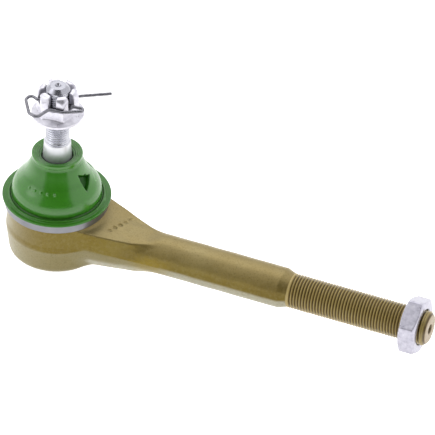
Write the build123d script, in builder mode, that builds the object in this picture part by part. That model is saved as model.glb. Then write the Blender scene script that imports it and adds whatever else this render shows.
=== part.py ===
"""Tie rod end: a ball stud in a forged housing with a long threaded shank.

Frame: millimetres. The origin is the ball centre, where the housing axis and the shank axis cross.
+X runs along the shank to its threaded tip, +Z runs up the ball stud.
"""
import math
import os

from build123d import *

# --- housing forging ---------------------------------------------------------------
CUP_R_PARTING = 23.0          # widest, on the forging's parting line
CUP_R_TOP = 22.3              # turned band under the boot ring
CUP_R_BOTTOM = 21.6
CUP_TOP_Z = 13.0
CUP_PARTING_Z = 1.5
CUP_BOTTOM_Z = -12.0
CUP_BOTTOM_FILLET = 3.0
SPIGOT_R = 18.2               # neck that the boot skirt grips
SPIGOT_TOP_Z = 16.6
BOSS_R = 16.5                 # rolled rim that holds the cover plate
BOSS_BOTTOM_Z = -14.0
WEB_X0, WEB_X1 = 12.0, 50.0   # the arm runs from the cup to the round shank
WEB_EDGE_R = 0.8
SHANK_R = 9.28
SHANK_END_X = 111.5
TIP_X = 182.4

# --- shank thread, 5/8-18 ----------------------------------------------------------
SHANK_PITCH = 25.4 / 18
SHANK_MAJOR_R = 25.4 * 5 / 8 / 2
THREAD_START_X = 116.0
TIP_CHAMFER = 1.5
CENTRE_DRILL_R = 2.2
CENTRE_DRILL_DEPTH = 4.0

# --- ball joint --------------------------------------------------------------------
BALL_R = 10.0
BALL_FLAT_Z = -9.3
FIT = 0.05                    # radial clearance of the ball and of the turning seat
NECK_R = 5.2
BORE_R = 13.5
SEAT_SPLIT = 0.6              # half the gap between the two bearings
UPPER_SEAT_TOP_Z = 6.2
LOWER_SEAT_BOTTOM_Z = -10.4
SEAT_OIL_HOLE_R = 3.6
MOUTH_R_LOW = 8.9
MOUTH_R_TOP = 12.9
COVER_R = 14.6
COVER_TOP_Z, COVER_BOTTOM_Z = -11.6, -13.0
RIM_R = 13.4

# --- stud --------------------------------------------------------------------------
TAPER_LOW_Z, TAPER_TOP_Z = 24.0, 48.3
TAPER_R_AT_LIP = 6.6          # radius where the stud leaves the boot lip
LIP_Z = 40.0
TAPER_RATE = 1 / 16           # radius per length: 1 in 8 on the diameter
STUD_PITCH = 25.4 / 20
STUD_MAJOR_R = 25.4 * 7 / 16 / 2
STUD_END_Z = 79.4
STUD_END_CHAMFER = 2.0
PIN_Z = 72.1
PIN_ANGLE = 32.65             # heading of the cross hole, from +X towards +Y
PIN_HEADING = Vector(1, 0, 0).rotate(Axis.Z, PIN_ANGLE)
PIN_HOLE_R = 1.4

# --- nuts and pin ------------------------------------------------------------------
NUT_AF = 25.4 * 11 / 16
NUT_FLANGE_R = 12.1
NUT_BOTTOM_Z, NUT_TOP_Z = 63.1, 77.4
NUT_FLANGE_EDGE = 1.3
NUT_ANGLE = 36.6              # heading of a slot; the pin lies a few degrees off its middle
SLOT_WIDTH = 3.2
SLOT_BOTTOM_Z = 70.3
WIRE_R = 0.75
JAM_AF = 25.4 * 15 / 16
JAM_X0, JAM_X1 = 171.1, 179.1
JAM_TURN = 32.4               # heading of a corner, from +Y towards +Z
RUNNING = 0.08                # radial clearance of a nut's bore over the thread crests

# --- boot --------------------------------------------------------------------------
RING_R, RING_BORE_R = 23.7, 20.5
RING_Z0, RING_Z1 = 13.0, 17.2
FLANGE_R = 24.76
BOOT_BORE_R = 6.95


def thread_profile(start, end, pitch, major):
    """Crest and root corners of a vee thread, as (distance along, radius) pairs."""
    depth, crest = 0.61 * pitch, pitch / 8
    flank = (pitch - 2 * crest) / 2
    points, at = [], start
    while at + pitch <= end:
        points += [(at, major), (at + crest, major)]
        points += [(at + crest + flank, major - depth), (at + 2 * crest + flank, major - depth)]
        at += pitch
    return points + [(at, major)]


def web_section(top_y, top_z, mid_y, mid_z, low_y, low_z, foot_y, foot_z):
    """Half outline of the arm on its right side, mirrored to a closed ring of (y, z) points."""
    half = [(top_y, top_z), (mid_y, mid_z), (low_y, low_z), (foot_y, foot_z)]
    return half + [(-y, z) for y, z in reversed(half)]


# Housing: forged cup, flat-topped arm and round shank in one piece, with the shank thread cut on it.
with BuildPart() as housing:
    with BuildSketch(Plane.YZ.offset(WEB_X0)):
        with BuildLine():
            Polyline(*web_section(16.9, 12.95, 16.8, 2.8, 14.9, -3.6, 9.4, -11.0), close=True)
        make_face()
    with BuildSketch(Plane.YZ.offset(WEB_X1)):
        with BuildLine():
            Polyline(*web_section(5.0, 6.3, 9.1, -1.0, 6.8, -5.8, 3.6, -9.0), close=True)
        make_face()
    loft(ruled=True)
    long_edges = housing.edges().filter_by_position(Axis.X, WEB_X0 + 1, WEB_X1 - 1)
    fillet(long_edges, WEB_EDGE_R)

    with BuildSketch(Plane.XZ):
        with BuildLine():
            Polyline(
                (0, BOSS_BOTTOM_Z),
                (BOSS_R, BOSS_BOTTOM_Z),
                (BOSS_R, CUP_BOTTOM_Z),
                (CUP_R_BOTTOM - CUP_BOTTOM_FILLET, CUP_BOTTOM_Z),
            )
            RadiusArc(
                (CUP_R_BOTTOM - CUP_BOTTOM_FILLET, CUP_BOTTOM_Z),
                (CUP_R_BOTTOM, CUP_BOTTOM_Z + CUP_BOTTOM_FILLET),
                -CUP_BOTTOM_FILLET,
            )
            Polyline(
                (CUP_R_BOTTOM, CUP_BOTTOM_Z + CUP_BOTTOM_FILLET),
                (CUP_R_PARTING, CUP_PARTING_Z - 1),
                (CUP_R_PARTING, CUP_PARTING_Z + 1),
                (CUP_R_TOP, CUP_PARTING_Z + 4.5),
                (CUP_R_TOP, CUP_TOP_Z),
                (SPIGOT_R, CUP_TOP_Z),
                (SPIGOT_R, SPIGOT_TOP_Z),
                (0, SPIGOT_TOP_Z),
                (0, BOSS_BOTTOM_Z),
            )
        make_face()
    revolve(axis=Axis.Z)

    with BuildSketch(Plane.XZ):
        with BuildLine():
            thread = thread_profile(THREAD_START_X, TIP_X - TIP_CHAMFER, SHANK_PITCH, SHANK_MAJOR_R)
            Polyline(
                (WEB_X0 + 4, 0),
                (WEB_X0 + 4, SHANK_R),
                (SHANK_END_X, SHANK_R),
                *thread,
                (TIP_X - TIP_CHAMFER, SHANK_MAJOR_R),
                (TIP_X, SHANK_MAJOR_R - TIP_CHAMFER),
                (TIP_X, CENTRE_DRILL_R),
                (TIP_X - CENTRE_DRILL_DEPTH, 0),
                close=True,
            )
        make_face()
    revolve(axis=Axis.X)

    # stepped bore: flared mouth for the swinging stud, bearing bore, and the cover's counterbore
    with BuildSketch(Plane.XZ):
        with BuildLine():
            Polyline(
                (0, SPIGOT_TOP_Z),
                (MOUTH_R_TOP, SPIGOT_TOP_Z),
                (MOUTH_R_LOW, UPPER_SEAT_TOP_Z),
                (BORE_R, UPPER_SEAT_TOP_Z),
                (BORE_R, COVER_TOP_Z),
                (COVER_R, COVER_TOP_Z),
                (COVER_R, COVER_BOTTOM_Z),
                (RIM_R, COVER_BOTTOM_Z),
                (RIM_R, BOSS_BOTTOM_Z),
                (0, BOSS_BOTTOM_Z),
                close=True,
            )
        make_face()
    revolve(axis=Axis.Z, mode=Mode.SUBTRACT)

# Upper bearing: hardened ring under the housing shoulder, ground to the ball above its equator.
with BuildPart() as upper_bearing:
    with Locations((0, 0, (SEAT_SPLIT + UPPER_SEAT_TOP_Z) / 2)):
        Cylinder(BORE_R - 0.02, UPPER_SEAT_TOP_Z - SEAT_SPLIT - 0.02)
    Sphere(BALL_R + FIT, mode=Mode.SUBTRACT)

# Lower bearing: spring-loaded cup under the ball, free to turn in the bore, with an oil hole.
with BuildPart() as lower_bearing:
    with Locations((0, 0, (LOWER_SEAT_BOTTOM_Z - SEAT_SPLIT) / 2)):
        Cylinder(BORE_R - FIT, -SEAT_SPLIT - LOWER_SEAT_BOTTOM_Z)
    Sphere(BALL_R + FIT, mode=Mode.SUBTRACT)
    with Locations((0, 0, LOWER_SEAT_BOTTOM_Z)):
        Cylinder(SEAT_OIL_HOLE_R, 4, mode=Mode.SUBTRACT)

# Preload spring: coned washer between the lower bearing and the cover plate.
with BuildPart() as preload_spring:
    with BuildSketch(Plane.XZ):
        with BuildLine():
            Polyline((7, -10.46), (8, -10.46), (12.6, -11.05), (12.6, -11.56), (11.8, -11.56), (7, -10.96), close=True)
        make_face()
    revolve(axis=Axis.Z)

# Cover plate: pressed disc closing the bore, held by the rolled rim and drilled for the grease fitting.
with BuildPart() as cover_plate:
    with Locations((0, 0, (COVER_TOP_Z + COVER_BOTTOM_Z) / 2)):
        Cylinder(COVER_R - 0.02, COVER_TOP_Z - COVER_BOTTOM_Z - 0.02)
        Cylinder(2.95, 4, mode=Mode.SUBTRACT)

# Grease fitting: hexagon, neck and nipple head, bored through with a seat for its check ball.
FITTING_AF = 25.4 * 5 / 16
FITTING_TIP_Z = -22.6
with BuildPart() as grease_fitting:
    with BuildSketch(Plane.XY.offset(COVER_BOTTOM_Z - 0.01)):
        RegularPolygon(FITTING_AF / 2, 6, major_radius=False)
    extrude(amount=-3.4)
    with BuildSketch(Plane.XZ):
        with BuildLine():
            Polyline(
                (0, -11.0), (2.6, -11.0), (2.93, -11.3), (2.93, -16.2), (2.5, -16.9), (2.5, -19.2),
                (3.25, -20.0), (3.25, -21.0), (2.1, FITTING_TIP_Z), (0, FITTING_TIP_Z), close=True,
            )
        make_face()
    revolve(axis=Axis.Z)
    with BuildSketch(Plane.XZ):
        with BuildLine():
            Polyline(
                (0, -11.0), (1.0, -11.0), (1.0, -11.35), (1.7, -11.35), (1.7, -21.1), (0.95, -21.75),
                (0.95, FITTING_TIP_Z), (0, FITTING_TIP_Z), close=True,
            )
        make_face()
    revolve(axis=Axis.Z, mode=Mode.SUBTRACT)

# Check ball of the fitting, resting on the cone behind the nipple's mouth.
CHECK_BALL_R = 1.3
CHECK_BALL_Z = -20.78
with BuildPart() as check_ball:
    with Locations((0, 0, CHECK_BALL_Z)):
        Sphere(CHECK_BALL_R)

# Check spring: coil that holds the ball shut, as a thin sleeve of the coil's size.
SPRING_TOP_Z = -11.4
with BuildPart() as check_spring:
    with Locations((0, 0, (SPRING_TOP_Z + CHECK_BALL_Z + CHECK_BALL_R + 0.05) / 2)):
        Cylinder(1.4, SPRING_TOP_Z - CHECK_BALL_Z - CHECK_BALL_R - 0.05)
        Cylinder(1.0, 12, mode=Mode.SUBTRACT)

# Ball stud: ball, waisted neck, tapered seat for the steering arm and a threaded end with a cross hole.
with BuildPart() as ball_stud:
    with BuildSketch(Plane.XZ):
        with BuildLine():
            taper_low_r = TAPER_R_AT_LIP + (LIP_Z - TAPER_LOW_Z) * TAPER_RATE
            taper_top_r = TAPER_R_AT_LIP - (TAPER_TOP_Z - LIP_Z) * TAPER_RATE
            neck_z = math.sqrt(BALL_R**2 - NECK_R**2)
            flat_r = math.sqrt(BALL_R**2 - BALL_FLAT_Z**2)
            thread_end_z = STUD_END_Z - STUD_END_CHAMFER
            stud_thread = thread_profile(TAPER_TOP_Z + 0.9, thread_end_z, STUD_PITCH, STUD_MAJOR_R)
            Polyline((0, BALL_FLAT_Z), (flat_r, BALL_FLAT_Z))
            ThreePointArc((flat_r, BALL_FLAT_Z), (BALL_R, 0), (NECK_R, neck_z))
            Polyline(
                (NECK_R, neck_z),
                (NECK_R, 17.5),
                (taper_low_r - 0.6, TAPER_LOW_Z - 2),
                (taper_low_r, TAPER_LOW_Z),
                (taper_top_r, TAPER_TOP_Z),
                *[(r, z) for z, r in stud_thread],
                (STUD_MAJOR_R, thread_end_z),
                (STUD_MAJOR_R - STUD_END_CHAMFER, STUD_END_Z),
                (1.3, STUD_END_Z),
                (0, STUD_END_Z - 2),
                (0, BALL_FLAT_Z),
            )
        make_face()
    revolve(axis=Axis.Z)
    with Locations(Plane(origin=(0, 0, PIN_Z), z_dir=PIN_HEADING)):
        Cylinder(PIN_HOLE_R, 16, mode=Mode.SUBTRACT)

# Lip ring: stiffening ring moulded into the boot lip; it leans with the stud and lets the stud turn.
with BuildPart() as boot_lip_ring:
    with Locations((0, 0, 38.5)):
        Cylinder(8.6, 1.2)
        Cylinder(7.3, 2, mode=Mode.SUBTRACT)

# Dust boot: skirt under the steel ring, wide flange with a raised bead, dome, neck and dished lip.
with BuildPart() as dust_boot:
    with BuildSketch(Plane.XZ):
        with BuildLine():
            Polyline(
                (18.3, 13.2), (20.4, 13.2), (20.4, RING_Z1 + 0.1), (FLANGE_R, RING_Z1 + 0.1), (FLANGE_R, 18.2),
                (22.6, 18.5), (22.1, 19.3), (21.4, 19.3), (20.9, 18.6), (20.4, 18.9),
            )
            Spline((20.4, 18.9), (20.45, 22.0), (19.4, 25.0), (17.1, 28.0), (15.0, 31.0), (13.3, 34.0), (11.5, 37.6))
            Polyline(
                (11.5, 37.6), (11.0, 39.3), (11.5, 40.0), (11.6, 41.4), (11.1, 42.1), (10.5, 42.0),
                (BOOT_BORE_R, LIP_Z), (BOOT_BORE_R, 39.4), (8.9, 39.4), (8.9, 37.6), (BOOT_BORE_R, 37.6),
                (BOOT_BORE_R, 36.9), (9.3, 36.0),
            )
            Spline((9.3, 36.0), (11.4, 33.0), (13.3, 30.0), (15.4, 27.0), (17.5, 24.0), (18.3, 21.5), (18.3, 18.6))
            Line((18.3, 18.6), (18.3, 13.2))
        make_face()
    revolve(axis=Axis.Z)

# Boot ring: bright steel band that clamps the boot skirt on the housing spigot.
with BuildPart() as boot_ring:
    with Locations((0, 0, (RING_Z0 + RING_Z1) / 2)):
        Cylinder(RING_R, RING_Z1 - RING_Z0)
        Cylinder(RING_BORE_R, RING_Z1 - RING_Z0 + 2, mode=Mode.SUBTRACT)
    chamfer(boot_ring.edges().filter_by(GeomType.CIRCLE).group_by(SortBy.RADIUS)[-1], 0.35)

# Castle nut: flanged hexagon with six slots for the locking pin.
with BuildPart() as castle_nut:
    with BuildSketch(Plane.XY.offset(NUT_BOTTOM_Z + 1)):
        RegularPolygon(NUT_AF / 2, 6, major_radius=False, rotation=NUT_ANGLE + 30)
    extrude(amount=NUT_TOP_Z - NUT_BOTTOM_Z - 1)
    with BuildSketch(Plane.XZ):
        with BuildLine():
            Polyline(
                (0, NUT_BOTTOM_Z - 1), (16, NUT_BOTTOM_Z - 1), (16, NUT_TOP_Z - 4), (10.3, NUT_TOP_Z - 1.7),
                (8.2, NUT_TOP_Z), (0, NUT_TOP_Z), close=True,
            )
        make_face()
    revolve(axis=Axis.Z, mode=Mode.INTERSECT)
    with BuildSketch(Plane.XZ):
        with BuildLine():
            Polyline(
                (0, NUT_BOTTOM_Z), (NUT_FLANGE_R, NUT_BOTTOM_Z), (NUT_FLANGE_R, NUT_BOTTOM_Z + NUT_FLANGE_EDGE),
                (9.2, NUT_BOTTOM_Z + 2.6), (0, NUT_BOTTOM_Z + 2.6), close=True,
            )
        make_face()
    revolve(axis=Axis.Z)
    with BuildSketch(Plane.XY.offset(NUT_BOTTOM_Z - 1)):
        Circle(STUD_MAJOR_R + RUNNING)
    extrude(amount=20, mode=Mode.SUBTRACT)
    with BuildSketch(Plane.XY.offset(SLOT_BOTTOM_Z)):
        with PolarLocations(0, 3, start_angle=NUT_ANGLE, angular_range=180):
            Rectangle(30, SLOT_WIDTH)
    extrude(amount=10, mode=Mode.SUBTRACT)

# Locking pin: wire with a straight leg through nut and stud, a bow, and a leg wrapped round the nut
# that hooks back into the next slot.
with BuildPart() as locking_pin:
    leg = PIN_HEADING + Vector(0, 0, -0.01)
    side = PIN_HEADING.cross(Vector(0, 0, 1))
    pin_plane = Plane(origin=(0, 0, PIN_Z), x_dir=leg, z_dir=leg.cross(side))
    with BuildLine(pin_plane) as wire_path:
        FilletPolyline(
            (24.5, 0), (-9.4, 0), (-11.6, -3.9), (-14.5, -0.8), (-14.6, 9.6), (-11.6, 12.9), (-5.4, 8.0),
            (0.3, 10.9), (9.6, 11.2), (9.6, 9.2), (4.9, 7.0),
            radius=[1.4, 1.7, 2.6, 2.6, 2.2, 1.6, 2.2, 0.95, 0.95],
        )
    with BuildSketch(Plane(origin=wire_path.line @ 0, z_dir=wire_path.line % 0)):
        Circle(WIRE_R)
    sweep(path=wire_path.line)

# Jam nut: thin hexagon on the shank thread, chamfered on both faces.
with BuildPart() as jam_nut:
    with BuildSketch(Plane.YZ.offset(JAM_X0)):
        RegularPolygon(JAM_AF / 2, 6, major_radius=False, rotation=JAM_TURN)
    extrude(amount=JAM_X1 - JAM_X0)
    with BuildSketch(Plane.XZ):
        with BuildLine():
            Polyline(
                (JAM_X0, 0), (JAM_X0, 11.6), (JAM_X0 + 1.3, 14.2), (JAM_X1 - 1.3, 14.2), (JAM_X1, 11.6),
                (JAM_X1, 0), close=True,
            )
        make_face()
    revolve(axis=Axis.X, mode=Mode.INTERSECT)
    with BuildSketch(Plane.YZ.offset(JAM_X0 - 1)):
        Circle(SHANK_MAJOR_R + RUNNING)
    extrude(amount=JAM_X1 - JAM_X0 + 2, mode=Mode.SUBTRACT)
    chamfer(jam_nut.edges().filter_by(GeomType.CIRCLE).group_by(SortBy.RADIUS)[0], 0.5)

os.makedirs("parts", exist_ok=True)

housing.part.label = "housing"
export_step(housing.part, "parts/housing.step")
upper_bearing.part.label = "upper_bearing"
export_step(upper_bearing.part, "parts/upper_bearing.step")
lower_bearing.part.label = "lower_bearing"
export_step(lower_bearing.part, "parts/lower_bearing.step")
preload_spring.part.label = "preload_spring"
export_step(preload_spring.part, "parts/preload_spring.step")
cover_plate.part.label = "cover_plate"
export_step(cover_plate.part, "parts/cover_plate.step")
grease_fitting.part.label = "grease_fitting"
export_step(grease_fitting.part, "parts/grease_fitting.step")
check_ball.part.label = "check_ball"
export_step(check_ball.part, "parts/check_ball.step")
check_spring.part.label = "check_spring"
export_step(check_spring.part, "parts/check_spring.step")
ball_stud.part.label = "ball_stud"
export_step(ball_stud.part, "parts/ball_stud.step")
boot_lip_ring.part.label = "boot_lip_ring"
export_step(boot_lip_ring.part, "parts/boot_lip_ring.step")
dust_boot.part.label = "dust_boot"
export_step(dust_boot.part, "parts/dust_boot.step")
boot_ring.part.label = "boot_ring"
export_step(boot_ring.part, "parts/boot_ring.step")
castle_nut.part.label = "castle_nut"
export_step(castle_nut.part, "parts/castle_nut.step")
locking_pin.part.label = "locking_pin"
export_step(locking_pin.part, "parts/locking_pin.step")
jam_nut.part.label = "jam_nut"
export_step(jam_nut.part, "parts/jam_nut.step")
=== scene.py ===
"""Looks of the tie rod end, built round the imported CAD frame. Shapes are in millimetres, scaled to metres."""
import math

import bmesh
import bpy
import numpy as np
from mathutils import Matrix, Vector


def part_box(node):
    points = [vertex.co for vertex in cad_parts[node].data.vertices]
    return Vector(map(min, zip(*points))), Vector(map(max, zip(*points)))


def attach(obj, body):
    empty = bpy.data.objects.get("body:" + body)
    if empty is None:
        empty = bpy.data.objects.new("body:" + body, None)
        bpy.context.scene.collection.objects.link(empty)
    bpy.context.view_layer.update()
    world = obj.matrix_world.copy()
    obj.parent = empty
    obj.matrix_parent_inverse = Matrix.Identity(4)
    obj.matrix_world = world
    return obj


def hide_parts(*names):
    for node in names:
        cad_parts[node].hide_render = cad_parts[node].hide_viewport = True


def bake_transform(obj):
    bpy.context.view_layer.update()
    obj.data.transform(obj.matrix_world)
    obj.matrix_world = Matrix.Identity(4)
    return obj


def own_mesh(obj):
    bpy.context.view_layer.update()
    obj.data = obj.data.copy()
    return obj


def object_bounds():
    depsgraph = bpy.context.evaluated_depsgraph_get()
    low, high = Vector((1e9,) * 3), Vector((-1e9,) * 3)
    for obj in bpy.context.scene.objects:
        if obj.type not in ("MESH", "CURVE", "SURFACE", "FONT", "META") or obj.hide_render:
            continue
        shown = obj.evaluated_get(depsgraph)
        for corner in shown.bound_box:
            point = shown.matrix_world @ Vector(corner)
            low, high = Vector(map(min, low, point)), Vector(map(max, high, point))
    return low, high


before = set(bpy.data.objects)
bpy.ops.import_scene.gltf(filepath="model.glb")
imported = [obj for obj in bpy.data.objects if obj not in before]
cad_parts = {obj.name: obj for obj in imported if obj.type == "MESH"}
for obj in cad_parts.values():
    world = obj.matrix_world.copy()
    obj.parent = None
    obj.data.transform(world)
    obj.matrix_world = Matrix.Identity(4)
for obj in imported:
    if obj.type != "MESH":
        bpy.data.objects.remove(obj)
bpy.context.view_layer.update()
MM = 0.001
TAU = 2 * math.pi


def span(node):
    """Lowest and highest corners of a CAD node, in millimetres."""
    lo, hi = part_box(node)
    return np.array(lo) / MM, np.array(hi) / MM


# --- key sizes, read from the frame ---------------------------------------------------
HOUSING_LO, HOUSING_HI = span("housing")
STUD_LO, STUD_HI = span("ball_stud")
RING_LO, RING_HI = span("boot_ring")
BOOT_HI = span("dust_boot")[1]
NUT_LO, NUT_HI = span("castle_nut")
JAM_LO, JAM_HI = span("jam_nut")
COVER_LO, COVER_HI = span("cover_plate")
FITTING_LO, FITTING_HI = span("grease_fitting")
CHECK_SPRING_LO, CHECK_SPRING_HI = span("check_spring")

INCH = 25.4
TIP_X = HOUSING_HI[0]
STUD_END = STUD_HI[2]

# --- camera ---------------------------------------------------------------------------
CAM_AZIMUTH = math.radians(21.652)
CAM_ELEVATION = math.radians(38.527)
CAM_ROLL = math.radians(1.7756)
CAM_DISTANCE = 3.0              # metres: far enough for an almost parallel view
CAM_OFFSET = (-0.073209, -0.002795)
PIXELS_PER_METRE = 2199.1
SENSOR = 36.0
FRAME_PIXELS = 435


def towards(azimuth, elevation):
    """Unit vector from the part to a camera or lamp. Azimuth nought is on the side of -Y."""
    level = math.cos(elevation)
    return Vector((math.sin(azimuth) * level, -math.cos(azimuth) * level, math.sin(elevation)))


def make_camera():
    r = CAM_ROLL
    back = towards(CAM_AZIMUTH, CAM_ELEVATION)
    right = Vector((math.cos(CAM_AZIMUTH), math.sin(CAM_AZIMUTH), 0))
    up = back.cross(right)
    axis_x = right * math.cos(r) + up * math.sin(r)
    axis_y = up * math.cos(r) - right * math.sin(r)
    place = back * CAM_DISTANCE - axis_x * CAM_OFFSET[0] - axis_y * CAM_OFFSET[1]
    data = bpy.data.cameras.new("camera")
    data.sensor_width = SENSOR
    data.lens = SENSOR * PIXELS_PER_METRE * CAM_DISTANCE / FRAME_PIXELS
    data.clip_start, data.clip_end = 0.05, 20
    cam = bpy.data.objects.new("camera", data)
    turn = Matrix((axis_x, axis_y, back)).transposed().to_4x4()
    cam.matrix_world = Matrix.Translation(place) @ turn
    bpy.context.scene.collection.objects.link(cam)
    bpy.context.scene.camera = cam


# --- mesh helpers ---------------------------------------------------------------------
def add_mesh(name, verts, faces, material, weld=0.0):
    """A smooth-shaded object from millimetre points. weld merges points closer than that."""
    data = bpy.data.meshes.new(name)
    data.from_pydata((np.asarray(verts, float) * MM).tolist(), [], [list(map(int, f)) for f in faces])
    if weld:
        bm = bmesh.new()
        bm.from_mesh(data)
        bmesh.ops.remove_doubles(bm, verts=bm.verts, dist=weld * MM)
        bmesh.ops.dissolve_degenerate(bm, edges=bm.edges, dist=weld * MM * 0.1)
        bmesh.ops.recalc_face_normals(bm, faces=bm.faces)
        bm.to_mesh(data)
        bm.free()
    data.shade_smooth()
    data.materials.append(material)
    obj = bpy.data.objects.new(name, data)
    bpy.context.scene.collection.objects.link(obj)
    return obj


def fillet(points, radii, steps=6, closed=False, share=0.49):
    """The polyline with its corners rounded to the given radii, each within a share of its runs."""
    pts = [np.asarray(p, float) for p in points]
    count = len(pts)
    straight = 3.1                  # radians: a corner wider than this is left as it is
    out = []
    for i, p in enumerate(pts):
        if not closed and i in (0, count - 1):
            out.append(p)
            continue
        r = radii[i]
        to_prev, to_next = pts[i - 1] - p, pts[(i + 1) % count] - p
        room = min(np.linalg.norm(to_prev), np.linalg.norm(to_next)) * share
        to_prev, to_next = to_prev / np.linalg.norm(to_prev), to_next / np.linalg.norm(to_next)
        angle = math.acos(np.clip(np.dot(to_prev, to_next), -1, 1))
        if r <= 0 or angle > straight:
            out.append(p)
            continue
        reach = min(r / math.tan(angle / 2), room)
        r = reach * math.tan(angle / 2)
        middle = to_prev + to_next
        centre = p + middle / np.linalg.norm(middle) * r / math.sin(angle / 2)
        a, b = p + to_prev * reach - centre, p + to_next * reach - centre
        sweep = math.pi - angle
        for k in range(steps + 1):
            t = k / steps
            out.append(centre + (a * math.sin((1 - t) * sweep) + b * math.sin(t * sweep)) / math.sin(sweep))
    return out


def dense(points, step, closed=False):
    """The polyline with every run divided to about the given step."""
    pts = [np.asarray(p, float) for p in points]
    ends = pts[1:] + ([pts[0]] if closed else [])
    out = []
    for a, b in zip(pts, ends):
        n = max(1, math.ceil(np.linalg.norm(b - a) / step))
        out += [a + (b - a) * k / n for k in range(n)]
    return out if closed else out + [pts[-1]]


def curve_through(points, per_run):
    """Catmull-Rom curve through the points, with per_run points on each run."""
    p = np.array([points[0]] + list(points) + [points[-1]], float)
    out = []
    for i in range(1, len(p) - 2):
        for k in range(per_run):
            t = k / per_run
            out.append(0.5 * (2 * p[i] + (p[i + 1] - p[i - 1]) * t
                              + (2 * p[i - 1] - 5 * p[i] + 4 * p[i + 1] - p[i + 2]) * t * t
                              + (3 * p[i] - p[i - 1] - 3 * p[i + 1] + p[i + 2]) * t ** 3))
    return out + [p[-2]]


def lathe_rows(profile, segments):
    """(rows, segments, 3) rings of a (radius, height) profile turned about Z."""
    prof = np.array(profile, float)
    turn = np.arange(segments) * TAU / segments
    r, z = prof[:, 0][:, None], prof[:, 1][:, None]
    return np.stack([r * np.cos(turn), r * np.sin(turn), z + 0 * turn], -1)


def lathe_grid(profile, segments):
    """Points and quads of a closed (radius, height) profile turned about Z."""
    verts = lathe_rows(profile, segments).reshape(-1, 3)
    n = len(profile)
    i, j = np.meshgrid(np.arange(n), np.arange(segments), indexing="ij")
    i2, j2 = (i + 1) % n, (j + 1) % segments
    quads = np.stack([i * segments + j, i * segments + j2, i2 * segments + j2, i2 * segments + j], -1)
    return verts, quads.reshape(-1, 4)


THREAD_SHAPE = np.array([        # one turn: share of the pitch, and height from root (0) to crest (1)
    (0, 1), (0.09, 1), (0.2, 0.76), (0.42, 0.24), (0.52, 0), (0.62, 0), (0.72, 0.24), (0.94, 0.76)])
THREAD_DEPTH = 0.61              # of the pitch


def thread_rows(start, end, pitch, major, segments, lead_in=1.0):
    """Skewed grid of a true helical vee thread along the third axis, from start to end.

    Returns points as (rows, segments, 3) and the row shift where the helix closes on itself.
    lead_in is the run, in turns, over which the thread fades at each end.
    """
    shape = THREAD_SHAPE
    depth = THREAD_DEPTH * pitch
    per = len(shape)
    turns = math.ceil((end - start) / pitch) + 2
    base = start - pitch + (np.arange(turns)[:, None] + shape[:, 0]).ravel() * pitch
    height = np.tile(shape[:, 1], turns)
    turn = np.arange(segments) / segments
    along = base[:, None] + turn * pitch
    run = lead_in * pitch
    fade = np.clip((along - start) / run, 0, 1) * np.clip((end - along) / run, 0, 1)
    radius = major - depth * (1 - height[:, None]) * fade
    along = np.clip(along, start, end)
    angle = turn * TAU
    return np.stack([radius * np.cos(angle), radius * np.sin(angle), along], -1), per


def join_rows(rows, shift=0):
    """Quads between successive rings of a (rows, segments, 3) grid."""
    n, m = rows.shape[:2]
    i, j = np.meshgrid(np.arange(n - 1), np.arange(m), indexing="ij")
    step = np.where(j == m - 1, shift, 0)
    ok = (i + 1 + step < n)
    a, b = i * m + j, (i + step) * m + (j + 1) % m
    c, d = (i + 1 + step) * m + (j + 1) % m, (i + 1) * m + j
    quads = np.stack([a, b, c, d], -1)
    return quads[ok]


def stack_rows(parts, name, material, along="z"):
    """One closed mesh from several ring grids set end to end."""
    verts, faces, last = [], [], None
    offset = 0
    for rows, shift in parts:
        n, m = rows.shape[:2]
        faces.append(join_rows(rows, shift) + offset)
        if last is not None:
            j = np.arange(m)
            faces.append(np.stack([last + j, last + (j + 1) % m, offset + (j + 1) % m, offset + j], -1))
        verts.append(rows.reshape(-1, 3))
        offset += n * m
        last = offset - m
    verts = np.concatenate(verts)
    if along == "x":
        verts = verts[:, [2, 0, 1]]
    return add_mesh(name, verts, np.concatenate(faces), material, weld=0.01)


TUBE_END = [(-0.001, 0.0), (0.05, 0.35), (0.2, 0.72), (0.45, 0.93), (0.8, 1.0)]    # (along, share of radius)


def tube(name, path, radius, material, sides=20):
    """Round wire along a path, with rounded ends."""
    path = np.array(path, float)
    tangent = np.gradient(path, axis=0)
    tangent /= np.linalg.norm(tangent, axis=1)[:, None]
    normal = np.cross(tangent[0], (0.3, 0.2, 0.9))
    frames = []
    angle = np.arange(sides)[:, None] * TAU / sides
    for p, t in zip(path, tangent):
        normal = normal - t * np.dot(normal, t)
        normal /= np.linalg.norm(normal)
        frames.append((p, t, normal, np.cross(t, normal)))

    def ring(k, back, scale):
        p, t, u, v = frames[k]
        return p + t * back + radius * scale * (np.cos(angle) * u + np.sin(angle) * v)

    edge = 0.45 * radius            # length of each rounded end
    length = np.concatenate([[0], np.cumsum(np.linalg.norm(np.diff(path, axis=0), axis=1))])
    grid = [ring(0, at * edge, scale) for at, scale in TUBE_END]
    grid += [ring(k, 0, 1) for k in range(1, len(path) - 1) if edge < length[k] < length[-1] - edge]
    grid += [ring(len(path) - 1, -at * edge, scale) for at, scale in reversed(TUBE_END)]
    grid = np.array(grid)
    return add_mesh(name, grid.reshape(-1, 3), join_rows(grid), material, weld=0.004)


# --- solid toolkit: distance fields, meshed and then pulled onto the exact surface --------
def smooth_min(a, b, k):
    """The lesser of two distances: joins two solids with a fillet of about k."""
    h = np.clip(0.5 + 0.5 * (b - a) / k, 0, 1)
    return b + (a - b) * h - k * h * (1 - h)


def smooth_max(a, b, k):
    """The greater of two distances: cuts one solid by another, with a rounded edge of about k."""
    return -smooth_min(-a, -b, k)


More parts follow.
